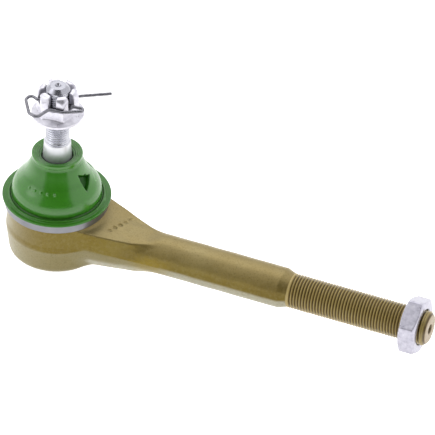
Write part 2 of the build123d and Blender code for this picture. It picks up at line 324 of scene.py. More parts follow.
def polygon_distance(x, y, corners):
    """Signed distance to a closed polygon, negative inside."""
    pts = np.array(corners, float)
    best = np.full(x.shape, 1e9)
    inside = np.zeros(x.shape, bool)
    for (ax, ay), (bx, by) in zip(pts, np.roll(pts, -1, axis=0)):
        ex, ey = bx - ax, by - ay
        wx, wy = x - ax, y - ay
        t = np.clip((wx * ex + wy * ey) / (ex * ex + ey * ey + 1e-12), 0, 1)
        best = np.minimum(best, (wx - ex * t) ** 2 + (wy - ey * t) ** 2)
        crosses = (ay > y) != (by > y)
        with np.errstate(divide="ignore", invalid="ignore"):
            at = ax + (y - ay) * ex / (ey if ey else 1e-12)
        inside ^= crosses & (x < at)
    return np.where(inside, -1, 1) * np.sqrt(best)


def hexagon(x, y, flat, heading, k):
    """Distance to a hexagon with rounded corners; heading is that of a corner, in radians."""
    best = None
    for i in range(6):
        a = heading + math.pi / 6 + i * math.pi / 3
        d = x * math.cos(a) + y * math.sin(a) - flat / 2
        best = d if best is None else smooth_max(best, d, k)
    return best


def mesh_field(name, field, lo, hi, step, material):
    """Meshes the zero surface of field(x, y, z) by surface nets and projects the points onto it."""
    chunk = 48                      # layers evaluated at a time, to spare memory
    axes = [np.arange(l - 1.5 * step, h + 2.5 * step, step) for l, h in zip(lo, hi)]
    shape = tuple(len(a) for a in axes)
    value = np.empty(shape, np.float32)
    for s in range(0, shape[0], chunk):
        grid = np.meshgrid(axes[0][s:s + chunk], axes[1], axes[2], indexing="ij")
        value[s:s + chunk] = field(*[g.astype(float) for g in grid])
    sign = value < 0
    corners = [(i, j, k) for i in (0, 1) for j in (0, 1) for k in (0, 1)]
    cell = tuple(n - 1 for n in shape)

    def at(array, c):
        return array[c[0]:c[0] + cell[0], c[1]:c[1] + cell[1], c[2]:c[2] + cell[2]]

    filled = sum(at(sign, c).astype(np.int8) for c in corners)
    mixed = (filled > 0) & (filled < 8)
    index = np.full(cell, -1, np.int64)
    where = np.argwhere(mixed)
    index[mixed] = np.arange(len(where))
    total, hits = np.zeros((len(where), 3)), np.zeros(len(where))
    for a in corners:
        for b in corners:
            if sum(np.abs(np.subtract(a, b))) != 1 or a > b:
                continue
            va = value[tuple((where + a).T)].astype(float)
            vb = value[tuple((where + b).T)].astype(float)
            cut = (va < 0) != (vb < 0)
            t = np.where(cut, va / np.where(cut, va - vb, 1), 0)
            place = np.array(a) + t[:, None] * (np.array(b) - np.array(a))
            total += place * cut[:, None]
            hits += cut
    verts = (where + total / hits[:, None]) * step + np.array([a[0] for a in axes])
    quads = []
    for axis in range(3):
        u, v = (axis + 1) % 3, (axis + 2) % 3
        a = np.moveaxis(sign, axis, 0)
        flips = np.argwhere(np.moveaxis(a[:-1] != a[1:], 0, axis))
        flips = flips[(flips[:, u] > 0) & (flips[:, v] > 0)
                      & (flips[:, u] < cell[u]) & (flips[:, v] < cell[v])]
        ring = []
        for du, dv in ((1, 1), (0, 1), (0, 0), (1, 0)):
            c = flips.copy()
            c[:, u] -= du
            c[:, v] -= dv
            ring.append(index[tuple(c.T)])
        quad = np.stack(ring, -1)
        starts_inside = sign[tuple(flips.T)]
        quad = np.where(starts_inside[:, None], quad, quad[:, ::-1])
        quads.append(quad)
    quads = np.concatenate(quads)
    probe, rounds = 0.02, 4         # probe: reach of the slope's four samples
    tetra = np.array([(1, -1, -1), (-1, -1, 1), (-1, 1, -1), (1, 1, 1)], float)
    start = verts.copy()
    for _ in range(rounds):
        level = field(*verts.T)
        slope = sum(t * field(*(verts + probe * t).T)[:, None] for t in tetra) / (4 * probe)
        size = np.maximum((slope ** 2).sum(1), 0.05)
        move = -(level / size)[:, None] * slope
        far = np.linalg.norm(move, axis=1)
        move *= np.minimum(1, 0.5 * step / np.maximum(far, 1e-9))[:, None]
        verts = verts + move
    drift = verts - start
    far = np.linalg.norm(drift, axis=1)
    verts = start + drift * np.minimum(1, 0.9 * step / np.maximum(far, 1e-9))[:, None]
    return add_mesh(name, verts, quads, material)


# --- materials ------------------------------------------------------------------------
class Paint:
    """A node material being built: Principled shader plus helpers that wire noise into it."""

    def __init__(self, name, roughness=0.4, metallic=0.0, **sockets):
        self.mat = bpy.data.materials.new(name)
        self.mat.use_nodes = True
        self.tree = self.mat.node_tree
        self.tree.nodes.clear()
        self.out = self.tree.nodes.new("ShaderNodeOutputMaterial")
        self.shader = self.tree.nodes.new("ShaderNodeBsdfPrincipled")
        self.link(self.shader.outputs[0], self.out.inputs[0])
        self.shader.inputs["Roughness"].default_value = roughness
        self.shader.inputs["Metallic"].default_value = metallic
        for key, value in sockets.items():
            self.shader.inputs[key.replace("_", " ")].default_value = value
        self.where = self.tree.nodes.new("ShaderNodeTexCoord").outputs["Object"]
        self.normal = None

    def link(self, a, b):
        self.tree.links.new(a, b)

    def noise(self, scale, detail=3.0, rough=0.55, stretch=None, distortion=0.0):
        node = self.tree.nodes.new("ShaderNodeTexNoise")
        node.inputs["Scale"].default_value = scale
        node.inputs["Detail"].default_value = detail
        node.inputs["Roughness"].default_value = rough
        node.inputs["Distortion"].default_value = distortion
        self.link(self.stretched(stretch), node.inputs["Vector"])
        return node.outputs["Fac"]

    def stretched(self, stretch):
        if stretch is None:
            return self.where
        node = self.tree.nodes.new("ShaderNodeMapping")
        node.inputs["Scale"].default_value = stretch
        self.link(self.where, node.inputs["Vector"])
        return node.outputs[0]

    def ramp(self, value, stops):
        node = self.tree.nodes.new("ShaderNodeValToRGB")
        while len(node.color_ramp.elements) < len(stops):
            node.color_ramp.elements.new(0.5)
        for element, (at, colour) in zip(node.color_ramp.elements, stops):
            element.position = at
            element.color = (*colour, 1)
        self.link(value, node.inputs[0])
        return node.outputs[0]

    def spread(self, value, lo, hi, out_lo, out_hi):
        node = self.tree.nodes.new("ShaderNodeMapRange")
        for key, number in zip(("From Min", "From Max", "To Min", "To Max"), (lo, hi, out_lo, out_hi)):
            node.inputs[key].default_value = number
        self.link(value, node.inputs["Value"])
        return node.outputs[0]

    def math(self, how, a, b):
        node = self.tree.nodes.new("ShaderNodeMath")
        node.operation = how
        for value, socket in zip((a, b), node.inputs):
            if isinstance(value, (int, float)):
                socket.default_value = value
            else:
                self.link(value, socket)
        return node.outputs[0]

    def times(self, a, b):
        return self.math("MULTIPLY", a, b)

    def hypotenuse(self, a, b):
        return self.math("SQRT", self.math("ADD", self.times(a, a), self.times(b, b)), 0)

    def mix(self, factor, a, b):
        """Colour a where the factor is nought, b where it is one."""
        node = self.tree.nodes.new("ShaderNodeMix")
        node.data_type = "RGBA"
        for value, socket in zip((factor, a, b), (node.inputs[0], node.inputs[6], node.inputs[7])):
            if isinstance(value, (int, float)):
                socket.default_value = value
            elif isinstance(value, tuple):
                socket.default_value = (*value, 1)
            else:
                self.link(value, socket)
        return node.outputs[2]

    def separate(self):
        """X, Y and Z of the point, in metres, in the piece's own frame."""
        node = self.tree.nodes.new("ShaderNodeSeparateXYZ")
        self.link(self.where, node.inputs[0])
        return node.outputs

    def facing_up(self):
        """Z of the surface normal, for painting light and shade by which way the surface faces."""
        geometry = self.tree.nodes.new("ShaderNodeNewGeometry")
        node = self.tree.nodes.new("ShaderNodeSeparateXYZ")
        self.link(geometry.outputs["Normal"], node.inputs[0])
        return node.outputs[2]

    def grazing(self):
        """Nought where the surface faces the eye, one where it turns away."""
        node = self.tree.nodes.new("ShaderNodeLayerWeight")
        node.inputs["Blend"].default_value = 0.5
        return node.outputs["Facing"]

    def edges(self, lo, hi):
        """Nought on flats, one on sharp outer edges."""
        geometry = self.tree.nodes.new("ShaderNodeNewGeometry")
        return self.spread(geometry.outputs["Pointiness"], lo, hi, 0, 1)

    def cavity(self, reach):
        """One in the open, falling towards nought in slots and pockets narrower than the reach; the materials
        use it to paint shade into them.
        """
        node = self.tree.nodes.new("ShaderNodeAmbientOcclusion")
        node.samples = 8
        node.inputs["Distance"].default_value = reach * MM
        return node.outputs["AO"]

    def bump(self, height, strength, distance):
        node = self.tree.nodes.new("ShaderNodeBump")
        node.inputs["Strength"].default_value = strength
        node.inputs["Distance"].default_value = distance * MM
        self.link(height, node.inputs["Height"])
        if self.normal is not None:
            self.link(self.normal, node.inputs["Normal"])
        self.normal = node.outputs[0]

    def done(self, colour, roughness=None):
        self.link(colour, self.shader.inputs["Base Color"])
        if roughness is not None:
            self.link(roughness, self.shader.inputs["Roughness"])
        if self.normal is not None:
            self.link(self.normal, self.shader.inputs["Normal"])
        return self.mat


def forging_coat():
    """Yellow-bronze coat over shot-blasted forging, brown on the sides, with light and shade painted in by
    which way the surface faces: a hazier painted sheen above and towards the cup's outline, painted shade on
    the shank's sides, a paler painted floor reflection underneath, and painted light where the arm meets the
    shank.
    """
    p = Paint("forging_coat", metallic=0.45, Specular_IOR_Level=0.35)
    cloud = p.noise(45, 4, 0.6)
    mottle = p.noise(620, 3, 0.6)
    grit = p.noise(1500, 2, 0.6)
    side = p.ramp(cloud, [
        (0.3, (0.148, 0.101, 0.006)), (0.52, (0.168, 0.118, 0.009)), (0.75, (0.188, 0.139, 0.016))])
    # Painted sheen: a lighter, hazier tone for surfaces that face up.
    top = p.ramp(cloud, [
        (0.3, (0.265, 0.200, 0.072)), (0.52, (0.292, 0.225, 0.088)), (0.75, (0.312, 0.250, 0.110))])
    # Painted floor reflection: a lighter tone for the cup's faces turned slightly down, and a much paler one
    # for all faces turned well down.
    below, underside_floor_reflection = (0.210, 0.176, 0.070), (0.480, 0.460, 0.360)
    # Painted shade, darker brown for the shank's sides, and a pale painted floor reflection for the shank's
    # underside.
    brown, belly_floor_reflection = (0.100, 0.068, 0.004), (0.350, 0.330, 0.240)
    # Painted sheen towards the cup's outline, and painted light on the crease where the arm meets the shank.
    outline_sheen_tone, junction_painted_light = (0.440, 0.410, 0.300), (0.270, 0.190, 0.014)
    fleck, pit = (0.290, 0.235, 0.100), (0.095, 0.062, 0.010)
    up = p.facing_up()
    x = p.separate()[0]
    cup = p.spread(x, 0.045, 0.060, 1, 0)
    shank = p.spread(x, 0.046, 0.056, 0, 1)
    # Painted light on the crease where the arm runs into the shank, lifting its shade.
    junction_light_mask = p.times(p.spread(x, 0.038, 0.046, 0, 0.55), p.spread(x, 0.053, 0.062, 1, 0))
    # Painted sheen on up-facing surfaces.
    tone = p.mix(p.spread(up, 0.1, 0.95, 0, 1), side, top)
    # Painted floor reflection on downward faces.
    tone = p.mix(p.times(cup, p.spread(up, -0.04, -0.14, 0, 1)), tone, below)
    tone = p.mix(p.spread(up, -0.42, -0.68, 0, 1), tone, underside_floor_reflection)
    # Painted shade on the shank's sides, then painted floor reflection under it.
    tone = p.mix(p.times(shank, p.spread(up, 0.34, 0.14, 0, 0.30)), tone, brown)
    tone = p.mix(p.times(shank, p.spread(up, -0.02, -0.16, 0, 1)), tone, belly_floor_reflection)
    # Painted sheen: paler towards the cup's outline, where the surface turns from the eye.
    outline_sheen_mask = p.times(p.spread(p.grazing(), 0.15, 0.70, 0, 0.45), p.spread(x, 0.000, 0.030, 1, 0))
    tone = p.mix(outline_sheen_mask, tone, outline_sheen_tone)
    # Painted light in the arm-to-shank crease.
    tone = p.mix(p.times(junction_light_mask, p.spread(up, 0.45, 0.15, 0, 1)), tone, junction_painted_light)
    tone = p.mix(p.spread(mottle, 0.45, 0.75, 0, 0.35), tone, fleck)
    tone = p.mix(p.spread(grit, 0.5, 0.75, 0, 0.40), tone, pit)
    p.bump(p.noise(160, 3), 0.35, 0.25)
    p.bump(mottle, 0.6, 0.14)
    p.bump(grit, 0.6, 0.06)
    return p.done(tone, p.spread(mottle, 0.3, 0.7, 0.30, 0.42))


def thread_coat():
    """The same coat on cut threads: brown in the roots, brighter on the crests, bare at the end face."""
    p = Paint("thread_coat", metallic=0.1, Specular_IOR_Level=0.6)
    x, y, z = p.separate()
    radius = p.hypotenuse(y, z)
    crest = p.spread(radius, 0.0071, 0.0079, 0, 1)
    tone = p.mix(crest, (0.070, 0.040, 0.006), (0.430, 0.325, 0.105))
    tone = p.mix(p.spread(p.noise(260, 3), 0.35, 0.7, 0, 0.3), tone, (0.230, 0.160, 0.045))
    bare = p.times(p.spread(x, TIP_X * MM - 0.0003, TIP_X * MM - 0.0001, 0, 1),
                   p.spread(radius, 0.0022, 0.0024, 0, 1))
    tone = p.mix(bare, tone, (0.33, 0.245, 0.135))
    p.bump(p.noise(2200, 2), 0.3, 0.03)
    return p.done(tone, p.spread(p.noise(600, 2), 0.3, 0.7, 0.28, 0.42))


def zinc_plate():
    """Bright zinc: cool, slightly violet grey with fine spangle and soft handling marks, and painted shade in
    the slots.
    """
    p = Paint("zinc_plate", metallic=0.75)
    mottle = p.noise(520, 4, 0.65)
    tone = p.ramp(mottle, [
        (0.25, (0.37, 0.36, 0.43)), (0.5, (0.56, 0.545, 0.63)), (0.75, (0.73, 0.715, 0.785))])
    tone = p.mix(p.edges(0.53, 0.62), tone, (0.90, 0.90, 0.93))
    x, _, z = p.separate()
    jam_nut, castle_nut = p.spread(x, 0.090, 0.095, 0, 1), p.spread(z, 0.050, 0.052, 0, 0.38)
    tone = p.mix(p.times(jam_nut, 0.24), tone, (0.25, 0.245, 0.29))
    tone = p.mix(castle_nut, tone, (0.90, 0.89, 0.94))
    # Painted shade: slots and hollows darkened almost to black.
    tone = p.mix(p.spread(p.cavity(3.0), 0.25, 0.7, 0, 1), (0.03, 0.028, 0.035), tone)
    p.bump(p.noise(380, 4, 0.6), 0.6, 0.12)
    p.bump(p.noise(1900, 2), 0.5, 0.04)
    return p.done(tone, p.spread(mottle, 0.3, 0.7, 0.26, 0.44))


def pin_wire():
    """Drawn zinc-plated wire with faint lengthwise draw marks."""
    p = Paint("pin_wire", metallic=0.9)
    tone = p.ramp(p.noise(700, 3), [(0.3, (0.15, 0.15, 0.17)), (0.7, (0.27, 0.265, 0.295))])
    p.bump(p.noise(1500, 3), 0.3, 0.03)
    return p.done(tone, p.spread(p.noise(500, 2), 0.3, 0.7, 0.22, 0.36))


def stud_steel():
    """Turned and ground steel with fine marks round Z, the taper duller than the thread, the end darker, and
    painted shade in the thread's roots.
    """
    p = Paint("stud_steel")
    z = p.separate()[2]
    thread = p.spread(z, 0.0480, 0.0486, 0, 1)
    p.link(p.spread(thread, 0, 1, 0.55, 0.85), p.shader.inputs["Metallic"])
    rings = p.noise(2600, 2, 0.6, stretch=(0.02, 0.02, 1.0))
    stain = p.noise(240, 3)
    tone = p.ramp(stain, [(0.3, (0.58, 0.59, 0.65)), (0.7, (0.74, 0.745, 0.80))])
    tone = p.mix(thread, (0.76, 0.76, 0.80), tone)
    end = p.spread(z, (STUD_END - 2.1) * MM, (STUD_END - 1.8) * MM, 0, 1)
    tone = p.mix(end, tone, (0.42, 0.42, 0.47))
    # Painted shade in the thread's roots and other narrow hollows.
    tone = p.mix(p.spread(p.cavity(0.9), 0.2, 0.7, 0, 1), (0.16, 0.16, 0.19), tone)
    p.bump(rings, 0.35, 0.03)
    return p.done(tone, p.math("ADD", p.spread(rings, 0.3, 0.7, 0.18, 0.28), p.spread(thread, 0, 1, 0.12, 0)))


def bright_ring():
    """Turned steel band: bright with circular tool marks and a faint blue-violet film."""
    p = Paint("bright_ring", metallic=0.95)
    rings = p.noise(3200, 2, 0.6, stretch=(0.02, 0.02, 1.0))
    cloud = p.noise(70, 3)
    tone = p.ramp(cloud, [(0.3, (0.175, 0.178, 0.20)), (0.7, (0.26, 0.26, 0.275))])
    p.bump(rings, 0.5, 0.03)
    return p.done(tone, p.spread(rings, 0.3, 0.7, 0.28, 0.42))


def green_urethane():
    """Moulded green urethane: glossy with faint flow lines, a painted highlight on sharp edges and painted
    shade in grooves and the vent pocket; dull in the vent pocket and on the flange.
    """
    p = Paint("green_urethane", Specular_IOR_Level=0.75)
    cloud = p.noise(38, 4, 0.6)
    flow = p.noise(130, 3, 0.5, stretch=(1, 1, 0.25), distortion=0.6)
    tone = p.ramp(cloud, [
        (0.3, (0.032, 0.176, 0.008)), (0.55, (0.038, 0.205, 0.010)), (0.8, (0.046, 0.222, 0.015))])
    tone = p.mix(p.spread(flow, 0.4, 0.75, 0, 0.25), tone, (0.050, 0.205, 0.026))
    # Painted highlight: a lighter green on sharp edges.
    tone = p.mix(p.edges(0.52, 0.60), tone, (0.100, 0.310, 0.068))
    # Painted shade: grooves and hollows darkened.
    tone = p.mix(p.spread(p.cavity(3.0), 0.35, 0.85, 0, 1), (0.013, 0.078, 0.004), tone)
    x, y, z = p.separate()
    # Painted shade in the vent pockets: their sunken skin darkened.
    above_skin = p.math("ADD", p.times(p.math("SUBTRACT", p.hypotenuse(x, y), 0.0152), 0.847),
                        p.times(p.math("SUBTRACT", z, 0.0313), 0.531))
    pocket_height = p.times(p.spread(z, 0.0262, 0.0268, 0, 1), p.spread(z, 0.0352, 0.0358, 1, 0))
    pocket = p.times(p.spread(above_skin, -0.0003, -0.0009, 0, 0.9), pocket_height)
    tone = p.mix(pocket, tone, (0.009, 0.074, 0.003))
    flange = p.spread(z, 0.0186, 0.0192, 1, 0)
    tone = p.mix(p.times(flange, 0.3), tone, (0.022, 0.100, 0.006))
    dull = p.math("MAXIMUM", pocket, p.times(flange, 0.55))
    p.link(p.spread(dull, 0, 1, 0.75, 0.08), p.shader.inputs["Specular IOR Level"])
    p.bump(p.noise(900, 2), 0.12, 0.03)
    p.bump(flow, 0.15, 0.06)
    return p.done(tone, p.spread(flow, 0.3, 0.7, 0.17, 0.24))


def plain_steel(name, dark, light, roughness, grain=900):
    """Ground or pressed steel for the enclosed pieces."""
    p = Paint(name, metallic=1.0)
    mottle = p.noise(grain, 3, 0.6)
    tone = p.ramp(mottle, [(0.3, dark), (0.7, light)])
    p.bump(mottle, 0.3, 0.03)
    return p.done(tone, p.spread(mottle, 0.3, 0.7, roughness - 0.06, roughness + 0.08))


COAT = forging_coat()
THREAD = thread_coat()
ZINC = zinc_plate()
WIRE = pin_wire()
STUD = stud_steel()
RING = bright_ring()
GREEN = green_urethane()
BEARING = plain_steel("bearing_steel", (0.42, 0.42, 0.44), (0.58, 0.58, 0.60), 0.25)
SPRING = plain_steel("spring_steel", (0.16, 0.15, 0.15), (0.27, 0.26, 0.25), 0.38)
COVER = plain_steel("cover_steel", (0.30, 0.29, 0.28), (0.45, 0.44, 0.42), 0.36, 500)

# --- forging --------------------------------------------------------------------------
CUP_TOP, CUP_BOTTOM, RIM_BOTTOM = 13.0, -12.0, HOUSING_LO[2]
SPIGOT_TOP = HOUSING_HI[2]
SHANK_R, SHANK_END = 9.28, 111.5
THREAD_START, SHANK_MAJOR_R, SHANK_PITCH = 116.0, INCH * 5 / 16, INCH / 18
THREAD_NECK_R = 7.6
SPIGOT_R, CUP_REACH = 18.2, 24.5
BORE = [
    (0, 18), (13.6, 18), (12.9, 16.6), (8.9, 6.2), (13.5, 6.2), (13.5, -11.6), (14.6, -11.6), (14.6, -13.0),
    (13.9, -13.2), (13.5, -15), (0, -15),
]
CUP = fillet(
    [(0, RIM_BOTTOM), (16.0, RIM_BOTTOM), (16.5, CUP_BOTTOM), (21.35, CUP_BOTTOM), (22.98, 1.2), (22.98, 2.4),
     (22.6, 4.4), (22.3, CUP_TOP), (18.2, CUP_TOP), (18.2, SPIGOT_TOP), (0, SPIGOT_TOP)],
    [0, 0.9, 0.8, 2.8, 1.2, 0.8, 2.5, 0.4, 0.3, 0.5, 0], steps=4)
WEB_STATIONS = (12.0, 30.0, 40.0, 47.0, 53.0)
WEB_SECTIONS = np.array([        # (y, z) of upper, side, bevel and foot edge at each station
    [(16.9, 13.0), (16.8, 2.8), (14.9, -3.6), (9.4, -11.0)],
    [(11.7, 9.6), (13.1, 1.0), (11.1, -4.7), (6.9, -10.6)],
    [(8.4, 7.9), (11.1, 0.0), (8.9, -5.3), (5.4, -10.4)],
    [(5.8, 7.6), (9.6, -0.8), (7.4, -5.6), (4.1, -9.5)],
    [(4.1, 6.8), (8.5, -1.3), (6.2, -5.9), (3.0, -8.7)],
])
TOP_CUT = ((12.0, 13.0), (30.0, 9.6), (40.0, 7.9), (46.0, 7.7), (53.0, 9.5))    # (x, z) of the arm's flat top
ARM_DOT_FIRST, ARM_DOT_STEP, ARM_DOT_R = (28.9, -5.7, 10.5), (1.3, 3.0, -0.23), 1.15
DOT_COUNT = 5
ROUND_SIDES = 96                 # points round a thread


def web_field(x, y, z):
    """The arm: a section of flat faces that narrows from the cup to the shank, its edges rounded."""
    edges = [[np.interp(x, WEB_STATIONS, WEB_SECTIONS[:, i, k]) for k in (0, 1)] for i in range(4)]
    side, rounding, start = np.abs(y), 0.7, 4
    body = smooth_max(z - edges[0][1], edges[3][1] - z, rounding)
    for (ay, az), (by, bz) in zip(edges[:-1], edges[1:]):
        ny, nz = az - bz, by - ay
        size = np.sqrt(ny * ny + nz * nz)
        plane = ((side - ay) * ny + (z - az) * nz) / size
        body = smooth_max(body, plane, rounding)
    body = smooth_max(body, x - (WEB_STATIONS[-1] + 1), 1.5)
    return np.maximum(body, start - x)


def cup_field(x, y, z):
    """The cup, with a parting line that dips towards the arm."""
    radius = np.sqrt(x * x + y * y)
    dip = 3.2 * np.clip((x + 18) / 32, 0, 1) ** 2
    return polygon_distance(radius, z + dip * np.exp(-((z - 4.5) / 3.0) ** 2), CUP)


def shank_field(x, y, z):
    """The round shank, with its cone down to the thread and the arm's flat top run out on it."""
    cone = np.clip((x - SHANK_END) / (THREAD_START - SHANK_END), 0, 1)
    outer = SHANK_R - cone * (SHANK_R - THREAD_NECK_R)
    shank = smooth_max(np.sqrt(y * y + z * z) - outer, x - (THREAD_START + 0.6), 0.4)
    shank = smooth_max(shank, z - np.interp(x, *zip(*TOP_CUT)), 0.8)
    return np.maximum(shank, 14 - x)


def forging_field(x, y, z):
    """The whole forging: cup, arm and shank blended, faintly wavy, with punched dots and the bore cut out."""
    radius = np.sqrt(x * x + y * y)
    body = smooth_min(web_field(x, y, z), shank_field(x, y, z), 1.3)
    body = smooth_min(cup_field(x, y, z), body, 2.6)
    wave = 0.035 * (np.sin(x * 0.41 + 1.3 * np.sin(y * 0.37))
                    + np.sin(z * 0.53 + 0.9 * np.sin(x * 0.29 + y * 0.2)))
    body = body + wave * np.clip((x - 20) / 10, 0, 1)
    spigot = np.maximum(body, smooth_max(radius - SPIGOT_R, z - SPIGOT_TOP, 0.4))
    body = np.where((radius < CUP_REACH) & (z > CUP_TOP - 0.001), spigot, body)
    for k in range(DOT_COUNT):
        cx, cy, cz = np.add(ARM_DOT_FIRST, np.multiply(ARM_DOT_STEP, k))
        dot = np.sqrt((x - cx) ** 2 + (y - cy) ** 2 + (z - cz) ** 2) - ARM_DOT_R
        body = smooth_max(body, -dot, 0.2)
    return smooth_max(body, -polygon_distance(radius, z, BORE), 0.25)


def build_forging():
    lo, hi, step = (-23.2, -23.2, -14.2), (117, 23.2, 17), 0.44
    body = mesh_field("forging_body", forging_field, lo, hi, step, COAT)
    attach(body, "housing_body")
    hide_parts("housing")

    chamfer, drill_r, drill_depth = 1.5, 2.2, 4.0
    end = TIP_X - chamfer
    rows, shift = thread_rows(THREAD_START - 0.2, end, SHANK_PITCH, SHANK_MAJOR_R, ROUND_SIDES)
    root = [(0, THREAD_START - 3), (5, THREAD_START - 3), (7.2, THREAD_START - 1.2)]
    nose = fillet(
        [(SHANK_MAJOR_R, end), (SHANK_MAJOR_R - chamfer, TIP_X), (drill_r + 0.3, TIP_X),
         (drill_r, TIP_X - 0.3), (0.8, TIP_X - drill_depth * 0.75), (0, TIP_X - drill_depth)],
        [0, 0.25, 0.2, 0.2, 0, 0], steps=3)
    parts = [(lathe_rows(root, ROUND_SIDES), 0), (rows, shift), (lathe_rows(nose, ROUND_SIDES), 0)]
    thread = stack_rows(parts, "forging_thread", THREAD, along="x")
    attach(thread, "housing_body")


# --- boot and ring --------------------------------------------------------------------
RING_SIDES, DOME_SIDES = 240, 360


def build_ring():
    lo, hi, outer, inner = RING_LO[2] + 0.02, RING_HI[2], RING_HI[0], 20.52
    corners = [(inner, lo), (outer, lo), (outer, hi), (inner, hi)]
    profile = dense(fillet(corners, [0.2, 0.4, 0.35, 0.2], 5, closed=True), 0.5, closed=True)
    verts, quads = lathe_grid(profile, RING_SIDES)
    ring = add_mesh("boot_band", verts, quads, RING)
    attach(ring, "housing_body")
    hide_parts("boot_ring")


SEAM_Z = 18.9
DOME = [(20.4, 18.9), (20.48, 20.2), (20.4, 22.0), (19.95, 23.6), (19.35, 25.0), (18.3, 26.6), (17.1, 28.1),
        (15.95, 29.6), (14.95, 31.0), (14.1, 32.5), (13.35, 34.0), (12.3, 36.3), (11.45, 38.0)]
INNER = [(9.3, 36.0), (11.4, 33.0), (13.3, 30.0), (15.4, 27.0), (17.3, 24.0), (18.1, 21.5), (18.3, 18.9)]
LIP = [(11.45, 38.0), (11.0, 39.3), (11.6, 40.2), (11.62, 41.5), (11.0, 42.1), (10.6, 41.6), (10.25, 41.75),
       (9.75, 41.2), (9.4, 41.35), (8.9, 40.8), (8.55, 40.95), (8.0, 40.35), (7.65, 40.45), (7.0, 39.9),
       (7.0, 39.45), (8.9, 39.45), (8.9, 37.55), (7.0, 37.55), (7.0, 36.9), (9.3, 36.0)]
POCKET = [(34.9, -19.0), (27.6, -15.6), (31.0, 11.5)]   # corners as (z, heading in degrees)
POCKET_DEPTH, POCKET_R = 1.7, 15.5
POCKET_HEADINGS = (0, 60)
PINHOLE, PINHOLE_R, PINHOLE_DEPTH = (32.4, -1.0), 0.75, 1.9
DOT_HEADING, DOT_SPACING = -116, 11.5                   # degrees
DOT_Z, DOT_R, DOT_HEIGHT, DOT_CIRCLE_R = 29.2, 0.62, 0.3, 16.5
SKIN_TILT = 0.55                                        # sinking inwards by one also goes down by this much


def build_boot():
    flange_r, top = BOOT_HI[0], RING_HI[2]
    lower = fillet(
        [(18.32, 13.25), (20.38, 13.25), (20.38, top + 0.08), (flange_r, top + 0.08), (flange_r, 18.2),
         (22.7, 17.95), (22.15, 18.75), (21.35, 18.75), (20.75, 18.1), (20.35, SEAM_Z), (18.32, SEAM_Z)],
        [0.3, 0.3, 0.1, 0.3, 0.35, 0.5, 0.35, 0.35, 0.4, 0.05, 0.1], 5, closed=True)
    verts, quads = lathe_grid(dense(lower, 0.6, closed=True), RING_SIDES)
    flange = add_mesh("boot_flange", verts, quads, GREEN)
    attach(flange, "housing_body")
    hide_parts("dust_boot")

    outer = dense(curve_through(DOME, 10), 0.26)
    lip = fillet(LIP, [0, 0.6, 0.4, 0.5, 0.4] + [0.2] * 9 + [0.1, 0.05, 0.05, 0.2, 0.3, 0], 4)
    inner = curve_through(INNER, 5)
    profile = outer + dense(lip, 0.5)[1:] + inner[1:]
    verts, quads = lathe_grid(profile, DOME_SIDES)
    verts = press_pocket(verts, len(outer) * DOME_SIDES)
    boot = add_mesh("boot_dome", verts, quads, GREEN)
    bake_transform(boot)


def press_pocket(verts, count):
    """Sinks the vent pockets and their pinholes into the outer skin of the dome, and raises plain dots."""
    v = verts[:count]
    heading = np.degrees(np.arctan2(v[:, 1], v[:, 0]))
    radius = np.hypot(v[:, 0], v[:, 1])
    arc = np.radians(heading) * POCKET_R
    depth = np.zeros(len(v))
    for turn in POCKET_HEADINGS:
        corners = [(math.radians(h + turn) * POCKET_R, z) for z, h in POCKET]
        inside = -polygon_distance(arc, v[:, 2], corners)
        depth = np.maximum(depth, POCKET_DEPTH * np.clip((inside + 0.25) / 0.8, 0, 1))
        hole = np.hypot(arc - math.radians(PINHOLE[1] + turn) * POCKET_R, v[:, 2] - PINHOLE[0])
        depth = np.maximum(depth, PINHOLE_DEPTH * np.exp(-(hole / PINHOLE_R) ** 4))
    dots = np.zeros(len(v))
    for k in range(DOT_COUNT):
        along = np.radians(heading - DOT_HEADING - DOT_SPACING * k) * DOT_CIRCLE_R
        gap = np.hypot(along, v[:, 2] - DOT_Z)
        dots = np.maximum(dots, np.clip(1 - (gap / DOT_R) ** 4, 0, 1))
    depth = depth - DOT_HEIGHT * dots
    v[:, 0] -= depth * v[:, 0] / radius
    v[:, 1] -= depth * v[:, 1] / radius
    v[:, 2] -= depth * SKIN_TILT
    return verts


# --- stud, nuts and pin ---------------------------------------------------------------
STUD_PITCH, STUD_MAJOR_R = INCH / 20, INCH * 7 / 32
STUD_BALL_R, STUD_NECK_R = 10.0, 5.2
TAPER_LOW_R, TAPER_TOP_R = 7.6, 6.09
STUD_THREAD_Z = 49.2


def build_stud():
    flat = STUD_LO[2]
    arc_start, arc_end = math.asin(flat / STUD_BALL_R), math.acos(STUD_NECK_R / STUD_BALL_R)
    arc = np.linspace(arc_start, arc_end, 48)
    ball = [(STUD_BALL_R * math.cos(a), STUD_BALL_R * math.sin(a)) for a in arc]
    shape = [(0, flat)] + ball + fillet(
        [(STUD_NECK_R, ball[-1][1]), (STUD_NECK_R, 17.5), (TAPER_LOW_R - 0.6, 22.0), (TAPER_LOW_R, 24.0),
         (TAPER_TOP_R, 48.2), (5.2, 48.8), (4.95, STUD_THREAD_Z)], [0, 2.5, 0.8, 0.6, 0.25, 0.2, 0], 5)
    chamfer = 2.0
    end = STUD_END - chamfer
    rows, shift = thread_rows(STUD_THREAD_Z, end, STUD_PITCH, STUD_MAJOR_R, ROUND_SIDES, lead_in=0.7)
    nose = fillet(
        [(STUD_MAJOR_R, end), (STUD_MAJOR_R - chamfer, STUD_END), (1.5, STUD_END), (1.2, STUD_END - 0.25),
         (0, STUD_END - 1.6)], [0, 0.35, 0.2, 0.2, 0], 4)
    lower, tip = lathe_rows(dense(shape, 1.2), ROUND_SIDES), lathe_rows(dense(nose, 0.6), ROUND_SIDES)
    stud = stack_rows([(lower, 0), (rows, shift), (tip, 0)], "stud_turned", STUD)
    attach(stud, "stud_body")
    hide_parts("ball_stud")


